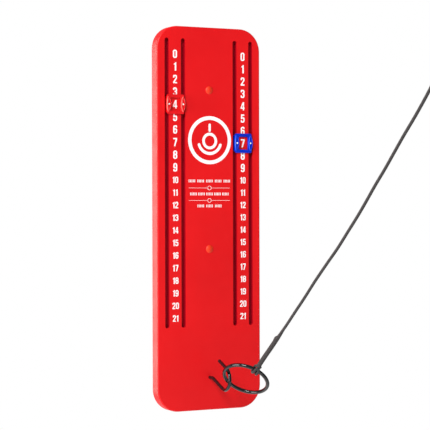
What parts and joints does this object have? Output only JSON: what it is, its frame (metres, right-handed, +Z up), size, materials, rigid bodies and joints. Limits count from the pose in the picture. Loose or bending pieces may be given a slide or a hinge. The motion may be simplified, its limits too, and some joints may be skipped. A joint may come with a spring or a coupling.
{
  "type": "hook and ring game",
  "caption": "Wall-mounted board with a screw hook, sliding score markers on numbered columns, and a steel ring on a cord from a ceiling eye.",
  "frame": {"origin": "back face of the board, midway between the two wall screws", "axes": "+X to the right across the board, +Y into the wall, +Z up; the board's printed front faces -Y"},
  "size_m": [0.138, 0.5257, 0.46],
  "materials": {
    "red_paint": "satin red lacquer on fibreboard",
    "black_steel": "gloss black plated steel wire",
    "zinc_steel": "zinc plated steel",
    "cap_plastic": "semi-gloss moulded",
    "red_plastic": "gloss moulded",
    "blue_plastic": "gloss moulded",
    "cord_braid": "braided polyester",
    "sleeve_braid": "braided sleeve, slightly darker",
    "white_ink": "screen-printed ink"
  },
  "bodies": {
    "root": {"board": "red_paint", "hook": "black_steel", "upper_wall_screw": "zinc_steel", "lower_wall_screw": "zinc_steel", "upper_screw_cap": "cap_plastic", "lower_screw_cap": "cap_plastic", "ceiling_eye": "zinc_steel"},
    "red_slider": {"red_score_slider": "red_plastic"},
    "blue_slider": {"blue_score_slider": "blue_plastic"},
    "hanging_cord": {"cord_hitch": "cord_braid", "cord_sleeve": "sleeve_braid", "cord": "cord_braid", "cord_top_knot": "cord_braid", "cord_top_loop": "cord_braid"},
    "game_ring": {"ring": "black_steel"}
  },
  "joints": [
    {"name": "red_score", "type": "slide", "parent": "root", "child": "red_slider", "axis": [0, 0, 1], "range_m": [-0.255, 0.06]},
    {"name": "blue_score", "type": "slide", "parent": "root", "child": "blue_slider", "axis": [0, 0, 1], "range_m": [-0.21, 0.105]},
    {"name": "ring_swing", "type": "hinge", "parent": "root", "child": "hanging_cord", "pos_m": [0, -0.05775, -0.2477], "axis": [0.0258, -0.7815, 0.6234], "range_deg": [-15, 40]},
    {"name": "ring_turn", "type": "hinge", "parent": "hanging_cord", "child": "game_ring", "pos_m": [0.015, -0.0795, -0.2465], "axis": [0.536, 0.4113, 0.7373], "continuous": true}
  ]
}
